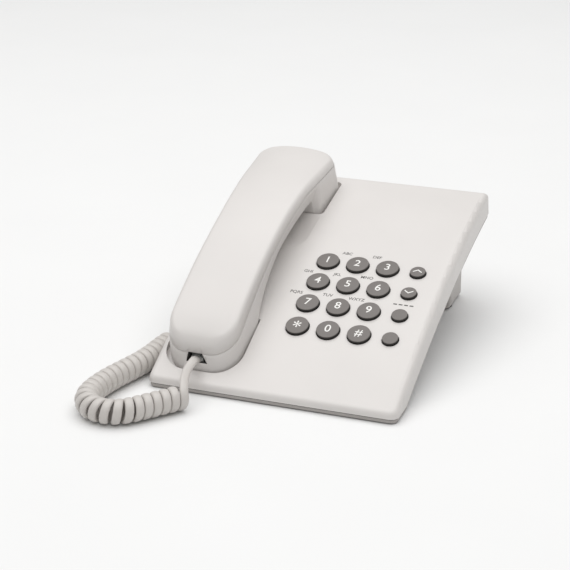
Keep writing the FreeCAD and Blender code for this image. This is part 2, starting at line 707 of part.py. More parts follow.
def handset_outer_shell():
    """Upper shell: a strip that follows the arch and rolls off at the mouth end."""
    body = new_body("outer_shell")
    side = new_sketch(body, "YZ_Plane", "outer_side")
    outline(side, [
        ("mouth_end_y - 2", "split_mouth_z"),
        ("mouth_end_y - 2", arch_height("mouth_end_y - 2", "crown"), "-(arch_radius + crown)"),
        (ear_wall("crown"), arch_height(ear_wall("crown"), "crown")),
        (ear_wall("split_ear"), arch_height(ear_wall("split_ear"), "split_ear"), "split_radius"),
    ])
    sweep_out(body, "Pad", side, "80")
    taper(body, "outer_taper")
    round_edges(body, "ear_corner", leaning, tag="_ear")
    round_edges(body, "edge_round", lambda edge: runs_along(edge, Vector(1, 0, 0))
                and middle(edge).z > size(arch_height(middle(edge).y, "crown")) - 0.5, tag="_top")
    roll = new_sketch(body, "YZ_Plane", "outer_roll")
    outline(roll, [
        ("mouth_end_y - 4", roll_height("mouth_end_y - 4")),
        ("mouth_end_y - 4", "100"),
        ("roll_y", "100"),
        ("roll_y", arch_height("roll_y", "crown"), "roll_radius"),
    ])
    sweep_out(body, "Pocket", roll, "80")
    space = hollow("outer_space", [
        ("mouth_end_y + shell", "0"),
        ("mouth_end_y + shell", roll_height("mouth_end_y + shell", "shell"), "-(roll_radius - shell)"),
        ("roll_y", arch_height("roll_y", "crown - shell"), "-(arch_radius + crown - shell)"),
        (f"{ear_wall('crown')} - shell", arch_height(f"{ear_wall('crown')} - shell", "crown - shell")),
        (f"{ear_wall('split_ear')} - shell - 0.6", "0"),
    ])
    finish(cut("outer_shell_solid", body, [space]), "handset_outer_shell", "cradle_x")


def handset_inner_shell():
    """Lower shell: ear and mouth blocks joined by the grip, hollow and open at the split."""
    body = new_body("inner_shell")
    split = "split_mouth_z - shell_gap"
    grip_rear = "ear_face_y - 12.2 * 0.245"
    side = new_sketch(body, "YZ_Plane", "inner_side")
    outline(side, [
        ("mouth_end_y - 2", split, "-split_radius"),
        (ear_wall("split_ear"), f"{arch_height(ear_wall('split_ear'), 'split_ear')} - shell_gap"),
        ("ear_end_y", arch_height("ear_end_y", "sole"), "arch_radius + sole"),
        ("ear_face_y", arch_height("ear_face_y", "sole")),
        (grip_rear, arch_height(grip_rear, "grip_under"), "arch_radius + grip_under"),
        ("mouth_face_y + 9", arch_height("mouth_face_y + 9", "grip_under")),
        ("mouth_face_y", arch_height("mouth_face_y", "sole"), "arch_radius + sole"),
        ("mouth_end_y - 2", arch_height("mouth_end_y - 2", "sole")),
    ])
    sweep_out(body, "Pad", side, "80")
    taper(body, "inner_taper")
    round_edges(body, "ear_corner", leaning, tag="_ear")
    space = hollow("inner_space", [
        ("mouth_end_y + shell", "130"),
        ("mouth_end_y + shell", arch_height("mouth_end_y + shell", "sole + shell"),
         "-(arch_radius + sole + shell)"),
        ("mouth_face_y - shell", arch_height("mouth_face_y - shell", "sole + shell")),
        ("mouth_face_y + 7", arch_height("mouth_face_y + 7", "grip_under + shell"),
         "-(arch_radius + grip_under + shell)"),
        (f"{grip_rear} + shell", arch_height(f"{grip_rear} + shell", "grip_under + shell")),
        ("ear_face_y + shell", arch_height("ear_face_y + shell", "sole + shell"),
         "-(arch_radius + sole + shell)"),
        ("ear_end_y - shell", arch_height("ear_end_y - shell", "sole + shell")),
        ("ear_end_y - shell - 16", "130"),
    ])

    notch = Placement(Vector(0, size("mouth_end_y"), 0), Rotation())
    openings = [block("cord_notch", "notch_width", "10", "30", notch)]
    for number in range(7):
        angle = math.radians(60 * number)
        reach = 0 if number == 6 else 6.0
        openings.append(rod(f"ear_grille_{number}", "1.1", "8", on_arch(0, EAR_Y),
                            x=reach * math.cos(angle), y=reach * math.sin(angle), z="sole - 2"))
    for number in range(3):
        openings.append(rod(f"mouth_grille_{number}", "0.9", "8", on_arch(0, MICROPHONE_Y),
                            x=3.5 * (number - 1), z="sole - 2"))
    openings.append(rod("shell_screw_hole", "1.6", "20", on_arch(0, -8.0), z="4"))
    finish(cut("inner_shell_solid", body, [space] + openings), "handset_inner_shell", "cradle_x")


EAR_Y = 68.0
MICROPHONE_Y = -64.0
WEIGHT_Y = 16.0
MOUTH_JACK_Y = -80.0


def handset_inside():
    """Receiver, microphone, weight and jack inside the handset, all on its centre line."""
    x = size("cradle_x")
    ear = on_arch(x, EAR_Y)
    ring = cut("receiver_ring_solid", rod("receiver_ring_disc", "16.0", "1.4", ear, z="sole + shell + 0.1"),
               [rod("receiver_ring_hole", "12.0", "3", ear, z="sole + shell - 0.5")])
    finish(ring, "receiver_gasket")
    capsule = fuse("receiver_solid", [rod("receiver_can", "15.8", "5.2", ear, z="sole + shell + 1.6"),
                                      rod("receiver_magnet", "9.0", "3.0", ear, z="sole + shell + 6.8")])
    finish(capsule, "receiver_capsule")
    mouth = on_arch(x, MICROPHONE_Y)
    boot = cut("boot_solid", rod("boot_disc", "6.2", "6.4", mouth, z="sole + shell + 0.1"),
               [rod("boot_bore", "4.9", "8", mouth, z="sole + shell + 0.9"),
                rod("boot_port", "2.6", "3", mouth, z="sole + shell - 1")])
    finish(boot, "microphone_boot")
    finish(rod("microphone_can", "4.8", "5.0", mouth, z="sole + shell + 1.0"), "microphone")
    weight = on_arch(x, WEIGHT_Y)
    finish(block("weight_bar", "22", "44", "6.0", weight, z="grip_under + shell + 0.8"), "balance_weight")
    jack = on_arch(x, MOUTH_JACK_Y)
    socket("handset_jack", "jack_wide", "jack_long", "8.4", "plug_wide + 0.4", "plug_tall + 0.4", "9.4", jack,
           "2.4", "sole + shell + 0.7", -1)
    plug("handset_plug", jack, "-2.6", "sole + shell + 1.7")
    screw = on_arch(x, -8.0)
    head = rod("shell_screw_head", "2.6", "1.4", screw, z="grip_under + shell + 0.1")
    shank = rod("shell_screw_shank", "1.2", "9.0", screw, z="grip_under + shell + 1.4")
    finish(fuse("shell_screw_solid", [head, shank]), "handset_screw")


def base_jack():
    """Jack in the belly pocket that the handset cord plugs into."""
    frame = on_arch(size("jack_x"), size("jack_y"))
    socket("base_jack", "jack_wide", "jack_long", "9.6", "plug_wide + 0.4", "plug_tall + 0.4", "9.4", frame,
           "15.8", "-13.6", -1)
    plug("base_plug", frame, "11.2", "-12.2")


# ---------------------------------------------------------------- handset cord

COIL_ROUTE = [(-41.6, -116.5, 7.4), (-49.9, -127.2, 7.4), (-58.9, -138.0, 7.4), (-67.4, -147.9, 7.4),
              (-77.5, -151.1, 7.4), (-87.6, -147.9, 7.4), (-94.0, -139.5, 7.4), (-95.2, -127.5, 7.4),
              (-92.9, -112.5, 7.4), (-88.8, -98.6, 7.4), (-84.9, -85.4, 7.4), (-82.9, -72.6, 7.4),
              (-82.5, -60.8, 7.4), (-80.3, -50.0, 7.4)]
HANDSET_TAIL = [(-47.0, -103.0, 12.4), (-42.6, -109.6, 12.4), (-41.6, -116.5, 11.9)]
BASE_TAIL = [(-60.0, -28.6, 24.8), (-63.5, -32.7, 17.0), (-71.5, -39.5, 12.6), (-77.5, -45.5, 10.9),
             (-80.3, -50.0, 10.9)]


def runs_and_arcs(points):
    """Straight runs joined by tangent arcs of 0.45 of the shorter run, and the arcs' radii."""
    points = [Vector(*point) for point in points]
    edges, radii, last = [], [], points[0]
    for before, corner, after in zip(points, points[1:], points[2:]):
        back, ahead = before - corner, after - corner
        trim = 0.45 * min(back.Length, ahead.Length)
        turn = math.pi - back.getAngle(ahead)
        start, end = corner + back.normalize() * trim, corner + ahead.normalize() * trim
        radius = trim / math.tan(turn / 2)
        inward = (start + end) * 0.5 - corner
        centre = corner + inward.normalize() * math.hypot(trim, radius)
        through = centre - inward.normalize() * radius
        edges += [Part.LineSegment(last, start).toShape(), Part.Arc(start, through, end).toShape()]
        radii.append(round(radius, 1))
        last = end
    edges.append(Part.LineSegment(last, points[-1]).toShape())
    return Part.Wire(edges), radii


def cord_tube(label, points, diameter):
    """Plain tube of this diameter along a route."""
    path, radii = runs_and_arcs(points)
    start = Vector(*points[0])
    section = Part.Wire(Part.Circle(start, Vector(*points[1]) - start, diameter / 2).toShape())
    solid = path.makePipeShell([section], True, False)
    expected = math.pi * diameter ** 2 / 4 * path.Length
    print(f"{label}: length {path.Length:.1f}, radii {radii}, volume ratio {solid.Volume / expected:.4f}")
    tube = doc.addObject("Part::Feature", label)
    tube.Shape = solid
    tube.Placement = Placement()
    finish(tube, label)


def leaving(frame, y, z, straight):
    """Middle of a plug's rear face, and the point straight behind it."""
    return [tuple(frame.multVec(Vector(0, size(y) - reach, size(z)))) for reach in (0, straight)]


def handset_cord():
    """The curly stretch as one fat tube, and the plain tail at each end of it."""
    diameter = size("cord_diameter")
    cord_tube("cord_coil", COIL_ROUTE, size("coil_diameter"))
    mouth = on_arch(size("cradle_x"), MOUTH_JACK_Y)
    upper = leaving(mouth, "-2.6 - plug_long / 2", "sole + shell + 1.1 + plug_tall / 2", 6.0)
    cord_tube("cord_handset_tail", upper + HANDSET_TAIL, diameter)
    pocket = on_arch(size("jack_x"), size("jack_y"))
    lower = leaving(pocket, "11.2 - plug_long / 2", "-12.8 + plug_tall / 2", 7.0)
    cord_tube("cord_base_tail", lower + BASE_TAIL, diameter)


# ---------------------------------------------------------------- whole phone

def build():
    upper_case()
    lower_case()
    wall_stand()
    rubber_feet()
    keys()
    keypad_membrane()
    main_board()
    board_screws()
    case_screws()
    rear_fittings()
    hook_parts()
    ringer()
    base_jack()
    handset_outer_shell()
    handset_inner_shell()
    handset_inside()
    handset_cord()
    doc.recompute()


def check_and_write():
    """Stop on any failed object or bad shape, then write one file for each sub-part."""
    failed = [item.Name for item in doc.Objects if {"Invalid", "Error"} & set(item.State)]
    for item in finished:
        shape = item.Shape
        if shape.isNull() or not shape.isValid() or not shape.Solids:
            failed.append(item.Label)
    if failed:
        raise RuntimeError(f"failed: {failed}")
    os.makedirs("parts", exist_ok=True)
    for item in finished:
        item.Shape.exportStep(os.path.join("parts", f"{item.Label}.step"))
        box = item.Shape.BoundBox
        print(f"{item.Label}: {len(item.Shape.Solids)} solid, {item.Shape.Volume:.0f} mm3,"
              f" x {box.XMin:.1f} {box.XMax:.1f} y {box.YMin:.1f} {box.YMax:.1f}"
              f" z {box.ZMin:.1f} {box.ZMax:.1f}")


build()
check_and_write()
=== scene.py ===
import math

import bmesh
import bpy
from mathutils import Matrix, Vector


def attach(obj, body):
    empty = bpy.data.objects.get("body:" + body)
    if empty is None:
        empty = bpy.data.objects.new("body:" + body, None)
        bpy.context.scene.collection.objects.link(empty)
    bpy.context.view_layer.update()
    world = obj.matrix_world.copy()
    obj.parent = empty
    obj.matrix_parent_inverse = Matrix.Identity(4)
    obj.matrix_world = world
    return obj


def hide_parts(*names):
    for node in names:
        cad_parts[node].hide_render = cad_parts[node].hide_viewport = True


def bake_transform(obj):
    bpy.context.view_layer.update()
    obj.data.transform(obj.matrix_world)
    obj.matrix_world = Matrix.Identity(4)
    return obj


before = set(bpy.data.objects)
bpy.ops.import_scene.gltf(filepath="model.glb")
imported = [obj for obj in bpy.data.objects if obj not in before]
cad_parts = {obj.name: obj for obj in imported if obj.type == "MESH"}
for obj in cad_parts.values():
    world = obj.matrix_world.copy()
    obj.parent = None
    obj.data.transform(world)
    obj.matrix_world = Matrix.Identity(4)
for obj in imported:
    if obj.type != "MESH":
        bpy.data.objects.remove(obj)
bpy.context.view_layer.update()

MM = 0.001

# Driving sizes of the phone in millimetres, the same as the model's.
ARCH_RADIUS, ARCH_Y, ARCH_Z = 697.0, 215.4, -614.8
BELLY_RADIUS, BELLY_Z = 720.0, -655.8
PLATE = 2.0
CRADLE_X = -47.5
MOUTH_END_Y, EAR_END_Y = -91.0, 87.1
EAR_Y, MICROPHONE_Y, SOLE = 68.0, -64.0, -3.2
KEY_X, KEY_Y, KEY_PITCH_X, KEY_PITCH_ARC = 0.0, 2.6, 18.75, 19.4
KEY_RADIUS, SMALL_KEY_RADIUS, KEY_RISE = 6.8, 4.7, 2.2
CASE_SCREWS = [(-68.0, -74.0), (68.0, -74.0), (-64.0, 24.0), (66.0, 60.0)]
REAR_Y, LINE_JACK_X = 90.0, 22.0
SWITCHES = [("ringer", 44.0), ("mode", 60.0)]
JACK_X, JACK_Y = -58.0, -24.0

KEY_ROWS = [["key_1", "key_2", "key_3", "key_volume_up"], ["key_4", "key_5", "key_6", "key_volume_down"],
            ["key_7", "key_8", "key_9", "key_flash"], ["key_star", "key_0", "key_hash", "key_redial"]]


# ---------------------------------------------------------------- places on the arched base

def arch_height(y, rise=0.0):
    """Height of the curve that runs `rise` above the arched top at this y."""
    return ARCH_Z + math.sqrt((ARCH_RADIUS + rise) ** 2 - (ARCH_Y - y) ** 2)


def arch_slope(y):
    return math.asin((ARCH_Y - y) / ARCH_RADIUS)


def on_arch(x, y, rise=0.0):
    """Metre matrix of a place on the arched top, local Z square to it and local Y up the slope."""
    slope = arch_slope(y)
    turn = Matrix.Rotation(slope, 4, "X")
    centre = Vector((x, y - rise * math.sin(slope), arch_height(y) + rise * math.cos(slope))) * MM
    return Matrix.Translation(centre) @ turn


def up_the_arch(y, arc):
    return ARCH_Y - ARCH_RADIUS * math.sin(arch_slope(y) - arc / ARCH_RADIUS)


# ---------------------------------------------------------------- mesh helpers

def new_object(name, mesh, material, body=None):
    thing = bpy.data.objects.new(name, mesh)
    bpy.context.scene.collection.objects.link(thing)
    if material is not None:
        thing.data.materials.append(material)
    if body is not None:
        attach(thing, body)
    return thing


def grid_mesh(name, rows, closed=False, caps=False):
    """Quads between rows of points in millimetres. `closed` joins each row's ends."""
    mesh = bmesh.new()
    grid = [[mesh.verts.new(Vector(point) * MM) for point in row] for row in rows]
    for first, second in zip(grid, grid[1:]):
        count = len(first) if closed else len(first) - 1
        for number in range(count):
            after = (number + 1) % len(first)
            mesh.faces.new((first[number], first[after], second[after], second[number]))
    if caps:
        mesh.faces.new(list(reversed(grid[0])))
        mesh.faces.new(grid[-1])
    bmesh.ops.remove_doubles(mesh, verts=mesh.verts, dist=1e-7)
    bmesh.ops.recalc_face_normals(mesh, faces=mesh.faces)
    data = bpy.data.meshes.new(name)
    mesh.to_mesh(data)
    mesh.free()
    for face in data.polygons:
        face.use_smooth = len(face.vertices) <= 4
    return data


def lathe(name, profile, place, material, body, steps=64):
    """Turned piece: (radius, height) points in millimetres about the local Z of a place."""
    rows = []
    for number in range(steps):
        angle = 2 * math.pi * number / steps
        across, along = math.cos(angle), math.sin(angle)
        rows.append([(radius * across, radius * along, height) for radius, height in profile])
    rows.append(rows[0])
    data = grid_mesh(name, rows)
    data.transform(place)
    return new_object(name, data, material, body)


def carve(thing, cutter):
    """Take the cutter's volume out of a piece; the cut faces keep the cutter's material."""
    change = thing.modifiers.new("carve", "BOOLEAN")
    change.operation = "DIFFERENCE"
    change.object = cutter
    change.solver = "EXACT"
    change.material_mode = "TRANSFER"
    bpy.context.view_layer.update()
    graph = bpy.context.evaluated_depsgraph_get()
    data = bpy.data.meshes.new_from_object(thing.evaluated_get(graph))
    thing.modifiers.clear()
    thing.data = data
    bpy.data.objects.remove(cutter)


def box_mesh(name, wide, long, tall, bevel, place=None):
    """Block centred on x and y with its foot at z = 0, its edges bevelled; millimetres."""
    mesh = bmesh.new()
    bmesh.ops.create_cube(mesh, size=1.0)
    for vertex in mesh.verts:
        vertex.co = Vector((vertex.co.x * wide, vertex.co.y * long, (vertex.co.z + 0.5) * tall)) * MM
    bmesh.ops.bevel(mesh, geom=list(mesh.edges), offset=bevel * MM, segments=3, profile=0.5, affect="EDGES")
    data = bpy.data.meshes.new(name)
    mesh.to_mesh(data)
    mesh.free()
    if place is not None:
        data.transform(place)
    return data


def joined(name, meshes):
    """One mesh of several, with their materials' slots left empty."""
    mesh = bmesh.new()
    for data in meshes:
        mesh.from_mesh(data)
    whole = bpy.data.meshes.new(name)
    mesh.to_mesh(whole)
    mesh.free()
    return whole


def curve_through(stations, column):
    """Smooth function of y through one column of a list of stations, without overshoot."""
    ys = [row[0] for row in stations]
    values = [row[column] for row in stations]
    steps = [(b - a) / (d - c) for a, b, c, d in zip(values, values[1:], ys, ys[1:])]
    slopes = [steps[0]]
    for before, after in zip(steps, steps[1:]):
        slopes.append(0.0 if before * after <= 0 else 2 * before * after / (before + after))
    slopes.append(steps[-1])

    def value(y):
        y = min(max(y, ys[0]), ys[-1])
        place = max(0, min(len(ys) - 2, sum(1 for station in ys if station <= y) - 1))
        span = ys[place + 1] - ys[place]
        t = (y - ys[place]) / span
        return ((1 + 2 * t) * (1 - t) ** 2 * values[place] + t * (1 - t) ** 2 * span * slopes[place]
                + t * t * (3 - 2 * t) * values[place + 1] + t * t * (t - 1) * span * slopes[place + 1])

    return value


def fade(value):
    """Smooth step from 0 to 1."""
    value = min(1.0, max(0.0, value))
    return value * value * (3 - 2 * value)


# ---------------------------------------------------------------- materials

def base_material(name, colour, roughness, specular=0.5):
    material = bpy.data.materials.new(name)
    material.use_nodes = True
    shader = material.node_tree.nodes["Principled BSDF"]
    shader.inputs["Base Color"].default_value = (*colour, 1.0)
    shader.inputs["Roughness"].default_value = roughness
    shader.inputs["Specular IOR Level"].default_value = specular
    return material, material.node_tree.nodes, material.node_tree.links, shader


def noise(nodes, links, scale, detail=3.0, roughness=0.5):
    """Noise on the object's own coordinates; `scale` is in cycles a metre."""
    coordinates = nodes.new("ShaderNodeTexCoord")
    texture = nodes.new("ShaderNodeTexNoise")
    texture.inputs["Scale"].default_value = scale
    texture.inputs["Detail"].default_value = detail
    texture.inputs["Roughness"].default_value = roughness
    links.new(coordinates.outputs["Object"], texture.inputs["Vector"])
    return texture


def vary(nodes, links, shader, texture, dark, light):
    """Colour that wanders between two close tones."""
    ramp = nodes.new("ShaderNodeValToRGB")
    ramp.color_ramp.elements[0].position = 0.32
    ramp.color_ramp.elements[1].position = 0.68
    ramp.color_ramp.elements[0].color = (*dark, 1.0)
    ramp.color_ramp.elements[1].color = (*light, 1.0)
    links.new(texture.outputs["Fac"], ramp.inputs["Fac"])
    links.new(ramp.outputs["Color"], shader.inputs["Base Color"])


def rough(nodes, links, shader, texture, low, high):
    """Roughness that follows a texture between two limits."""
    scale = nodes.new("ShaderNodeMapRange")
    scale.inputs["To Min"].default_value = low
    scale.inputs["To Max"].default_value = high
    links.new(texture.outputs["Fac"], scale.inputs["Value"])
    links.new(scale.outputs["Result"], shader.inputs["Roughness"])


def bump(nodes, links, shader, texture, strength, depth):
    """Relief of this depth in metres."""
    relief = nodes.new("ShaderNodeBump")
    relief.inputs["Strength"].default_value = strength
    relief.inputs["Distance"].default_value = depth
    links.new(texture.outputs["Fac"], relief.inputs["Height"])
    links.new(relief.outputs["Normal"], shader.inputs["Normal"])


def moulded(name, colour, roughness=0.42, grain=2600.0, depth=0.00004, spread=0.015, specular=0.45):
    """Moulded plastic: fine spark-eroded grain, slow tone changes and a slightly uneven sheen."""
    material, nodes, links, shader = base_material(name, colour, roughness, specular)
    dark = tuple(max(0.0, channel * (1 - spread)) for channel in colour)
    light = tuple(min(1.0, channel * (1 + spread)) for channel in colour)
    vary(nodes, links, shader, noise(nodes, links, 22.0, 5.0), dark, light)
    fine = noise(nodes, links, grain, 2.0)
    bump(nodes, links, shader, fine, 0.35, depth)
    rough(nodes, links, shader, noise(nodes, links, 60.0, 4.0), roughness - 0.05, roughness + 0.06)
    return material


def metal(name, colour, roughness, grain=1400.0, spread=0.08):
    """Bare metal with fine drawn lines and a patchy sheen."""
    material, nodes, links, shader = base_material(name, colour, roughness)
    shader.inputs["Metallic"].default_value = 1.0
    dark = tuple(channel * (1 - spread) for channel in colour)
    vary(nodes, links, shader, noise(nodes, links, 160.0, 4.0), dark, colour)
    rough(nodes, links, shader, noise(nodes, links, 420.0, 3.0), roughness - 0.08, roughness + 0.1)
    bump(nodes, links, shader, noise(nodes, links, grain, 2.0), 0.4, 0.00002)
    return material


def laminate(name):
    """Green circuit-board laminate with tracks that show through the solder mask."""
    material, nodes, links, shader = base_material(name, (0.05, 0.2, 0.08), 0.35)
    coordinates = nodes.new("ShaderNodeTexCoord")
    tracks = nodes.new("ShaderNodeTexBrick")
    tracks.inputs["Scale"].default_value = 260.0
    tracks.inputs["Mortar Size"].default_value = 0.035
    tracks.inputs["Color1"].default_value = (0.045, 0.20, 0.085, 1.0)
    tracks.inputs["Color2"].default_value = (0.035, 0.16, 0.07, 1.0)
    tracks.inputs["Mortar"].default_value = (0.10, 0.33, 0.15, 1.0)
    links.new(coordinates.outputs["Object"], tracks.inputs["Vector"])
    links.new(tracks.outputs["Color"], shader.inputs["Base Color"])
    rough(nodes, links, shader, noise(nodes, links, 90.0), 0.28, 0.42)
    bump(nodes, links, shader, noise(nodes, links, 1500.0), 0.3, 0.00002)
    return material


CASE = moulded("case_plastic", (0.70, 0.672, 0.650), roughness=0.36)
# Darker copy of the case plastic for the lower half of the case; the darkening is painted shade.
CASE_LOWER_PAINTED_SHADE = moulded("case_plastic_lower_painted_shade", (0.43, 0.405, 0.385), roughness=0.42)
# Darker copy of the case plastic for the wall stand; the darkening is painted shade.
STAND_PAINTED_SHADE = moulded("stand_plastic_painted_shade", (0.52, 0.492, 0.47), roughness=0.42)
# Dark painted shade for the walls of the handset's sound holes.
SHADE = moulded("painted_shade_inside", (0.20, 0.185, 0.17), roughness=0.6, depth=0.00002)
# Near-black painted shadow for the inside of the cord notch and the joint between the case halves.
SHADE_DARK = moulded("joint_shadow", (0.05, 0.046, 0.043), roughness=0.7, depth=0.00002)
KEY = moulded("key_plastic", (0.165, 0.149, 0.139), roughness=0.40, depth=0.00005, grain=2200.0)
# Near-black copy of the key plastic for the caps' sides: painted shade on the sides and in the gap round
# each key.
KEY_SIDE_PAINTED_SHADE = moulded("key_side_painted_shade", (0.022, 0.02, 0.018), roughness=0.5, depth=0.00003)
CORD = moulded("cord_vinyl", (0.60, 0.57, 0.54), roughness=0.34, grain=900.0, depth=0.00002)
MEMBRANE = moulded("membrane_rubber", (0.16, 0.16, 0.165), roughness=0.7, grain=1200.0, spread=0.05)
FOOT = moulded("foot_rubber", (0.055, 0.053, 0.05), roughness=0.8, grain=1500.0, depth=0.00008, spread=0.12)
# Black plastic of the jacks and the buzzer, also used as painted shade in the screws' cross recesses.
JACK_AND_RECESS_SHADE = moulded("jack_plastic", (0.035, 0.034, 0.033), roughness=0.42, spread=0.12)
SWITCH = moulded("switch_plastic", (0.05, 0.048, 0.046), roughness=0.5, spread=0.12)
SLIDER = moulded("slider_plastic", (0.17, 0.16, 0.155), roughness=0.45, spread=0.06)
CLEAR = moulded("clear_plastic", (0.80, 0.80, 0.77), roughness=0.16, depth=0.00001, specular=0.6)
CLEAR.node_tree.nodes["Principled BSDF"].inputs["Transmission Weight"].default_value = 0.55
BOARD = laminate("board_laminate")
STEEL = metal("screw_steel", (0.62, 0.61, 0.59), 0.32)
WEIGHT = metal("weight_steel", (0.36, 0.35, 0.34), 0.5, 700.0, 0.2)
CAPSULE = metal("capsule_metal", (0.70, 0.70, 0.69), 0.38)
BRASS = metal("diaphragm_brass", (0.72, 0.52, 0.22), 0.3)
GOLD = metal("contact_gold", (0.86, 0.62, 0.24), 0.22)
LABEL = moulded("plain_label", (0.60, 0.60, 0.58), roughness=0.5, grain=500.0, depth=0.00001)


# ---------------------------------------------------------------- camera, floor and light

CAMERA_PLACE = Vector((308.66, -899.78, 420.79)) * MM
CAMERA_YAW, CAMERA_PITCH, CAMERA_ROLL = map(math.radians, (20.458, 22.063, -0.35))
LENS, SENSOR = 107.0, 36.0          # millimetres
WORLD_STRENGTH = 0.40
LAMP_PLACE, LAMP_TARGET = (-0.08, 0.0, 1.9), (0, 0, 0.03)
LAMP_SIZE, LAMP_POWER = 3.2, 45     # metres and watts
FLOOR_HALF = 3000                   # millimetres


def make_camera():
    level = math.cos(CAMERA_PITCH)
    ahead = Vector((-math.sin(CAMERA_YAW) * level, math.cos(CAMERA_YAW) * level, -math.sin(CAMERA_PITCH)))
    right = ahead.cross(Vector((0, 0, 1))).normalized()
    above = right.cross(ahead)
    side = right * math.cos(CAMERA_ROLL) + above * math.sin(CAMERA_ROLL)
    top = above * math.cos(CAMERA_ROLL) - right * math.sin(CAMERA_ROLL)
    data = bpy.data.cameras.new("camera")
    data.lens = LENS
    data.sensor_width = SENSOR
    data.dof.use_dof = False
    data.clip_end = 20.0
    camera = bpy.data.objects.new("camera", data)
    camera.matrix_world = Matrix((
        (side.x, top.x, -ahead.x, CAMERA_PLACE.x), (side.y, top.y, -ahead.y, CAMERA_PLACE.y),
        (side.z, top.z, -ahead.z, CAMERA_PLACE.z), (0, 0, 0, 1)))
    bpy.context.scene.collection.objects.link(camera)
    bpy.context.scene.camera = camera


def area_light(name, place, target, size, power):
    data = bpy.data.lights.new(name, "AREA")
    data.shape = "DISK"
    data.size = size
    data.energy = power
    lamp = bpy.data.objects.new(name, data)
    lamp.location = place
    lamp.rotation_euler = (Vector(target) - Vector(place)).to_track_quat("-Z", "Y").to_euler()
    bpy.context.scene.collection.objects.link(lamp)


def make_studio():
    bpy.context.scene.view_settings.view_transform = "Standard"
    world = bpy.data.worlds.new("studio")
    bpy.context.scene.world = world
    world.use_nodes = True
    background = world.node_tree.nodes["Background"]
    background.inputs["Color"].default_value = (1.0, 1.0, 1.0, 1.0)
    background.inputs["Strength"].default_value = WORLD_STRENGTH
    area_light("overhead_light", LAMP_PLACE, LAMP_TARGET, LAMP_SIZE, LAMP_POWER)
    stations = (-FLOOR_HALF, 0, FLOOR_HALF)
    rows = [[(x, y, 0.0) for x in stations] for y in stations]
    floor_material, nodes, links, shader = base_material("floor_paper", (0.85, 0.85, 0.845), 0.7, 0.2)
    vary(nodes, links, shader, noise(nodes, links, 9.0), (0.845, 0.845, 0.84), (0.855, 0.855, 0.85))
    floor = new_object("floor", grid_mesh("floor", rows), floor_material)


make_camera()
make_studio()


# ---------------------------------------------------------------- handset cord

# The coil's centre line, from the handset's end, past the U-turn and along to the base's left edge.
COIL_ROUTE = [(-41.6, -116.5, 7.4), (-49.9, -127.2, 7.4), (-58.9, -138.0, 7.4), (-67.4, -147.9, 7.4),
              (-77.5, -151.1, 7.4), (-87.6, -147.9, 7.4), (-94.0, -139.5, 7.4), (-95.2, -127.5, 7.4),
              (-92.9, -112.5, 7.4), (-88.8, -98.6, 7.4), (-84.9, -85.4, 7.4), (-82.9, -72.6, 7.4),
              (-82.5, -60.8, 7.4), (-80.3, -50.0, 7.4)]
HANDSET_EXIT = (-47.5, -88.8, 16.8)
HANDSET_TAIL = [HANDSET_EXIT, (-47.4, -92.8, 18.8), (-47.2, -98.5, 18.4), (-47.2, -107.0, 16.9)]
BASE_TAIL = [(-71.5, -39.5, 12.6), (-63.5, -32.7, 17.0), (-60.0, -28.6, 24.8),
             (-58.0, -22.4, 30.2), (-58.0, -15.8, 32.6)]
COIL_RADIUS = 5.75                # of the wire's centre line about the coil's own line
WIRE_WIDE, WIRE_THICK = 5.1, 2.9
COIL_START = 10                   # half millimetres of the line left bare before the first turn
FIRST_ANGLE = math.radians(50)    # of the coil's first point, from its top towards the front
TURNS, STEPS = 29, 28             # turns over the whole line, and steps in each
TAIL_STEPS = 9                    # of the first turn, up to its underside, belong to the tail's piece
FAR_STEPS = 16                    # left off the last turn, so that the wire heads for the base
HANDSET_LEAD, BASE_LEAD = 4.0, 6.0    # straight run of the wire as it leaves each end of the coil


def smooth_line(points, spacing):
    """Points of a NURBS spline with these control points, evenly spaced in millimetres."""
    curve = bpy.data.curves.new("line", "CURVE")
    curve.dimensions = "3D"
    spline = curve.splines.new("NURBS")
    spline.points.add(len(points) - 1)
    for control, point in zip(spline.points, points):
        control.co = (*point, 1.0)
    spline.order_u = 3
    spline.use_endpoint_u = True
    spline.resolution_u = 24
    holder = bpy.data.objects.new("line", curve)
    mesh = bpy.data.meshes.new_from_object(holder)
    line = [vertex.co.copy() for vertex in mesh.vertices]
    bpy.data.objects.remove(holder)
    bpy.data.curves.remove(curve)
    bpy.data.meshes.remove(mesh)
    return resample(line, spacing)


def resample(line, spacing):
    lengths = [0.0]
    for first, second in zip(line, line[1:]):
        lengths.append(lengths[-1] + (second - first).length)
    count = max(2, round(lengths[-1] / spacing))
    result, place = [], 0
    for number in range(count + 1):
        target = lengths[-1] * number / count
        while place < len(lengths) - 2 and lengths[place + 1] < target:
            place += 1
        span = lengths[place + 1] - lengths[place]
        share = (target - lengths[place]) / span if span else 0.0
        result.append(line[place].lerp(line[place + 1], share))
    return result


def helix_path():
    """The wire's centre line about the coil's line, and the outward direction at each point."""
    line = smooth_line(COIL_ROUTE, 0.5)[COIL_START:]
    path, outward = [], []
    count = TURNS * STEPS
    for number in range(count + 1):
        share = number / count
        place = share * (len(line) - 1)
        low = min(int(place), len(line) - 2)
        centre = line[low].lerp(line[low + 1], place - low)
        tangent = (line[min(low + 3, len(line) - 1)] - line[max(low - 2, 0)]).normalized()
        side = tangent.cross(Vector((0, 0, 1))).normalized()
        above = side.cross(tangent)
        angle = math.pi / 2 + FIRST_ANGLE + 2 * math.pi * TURNS * share
        direction = side * math.cos(angle) + above * math.sin(angle)
        path.append(centre + direction * COIL_RADIUS)
        outward.append(direction)
    return path[:-FAR_STEPS], outward[:-FAR_STEPS]


def carried(path, normal):
    """The coil's outward direction carried along a tail without a twist."""
    normals = []
    for number in range(len(path)):
        tangent = (path[min(number + 1, len(path) - 1)] - path[max(number - 1, 0)]).normalized()
        normal = (normal - tangent * normal.dot(tangent)).normalized()
        normals.append(normal)
    return normals


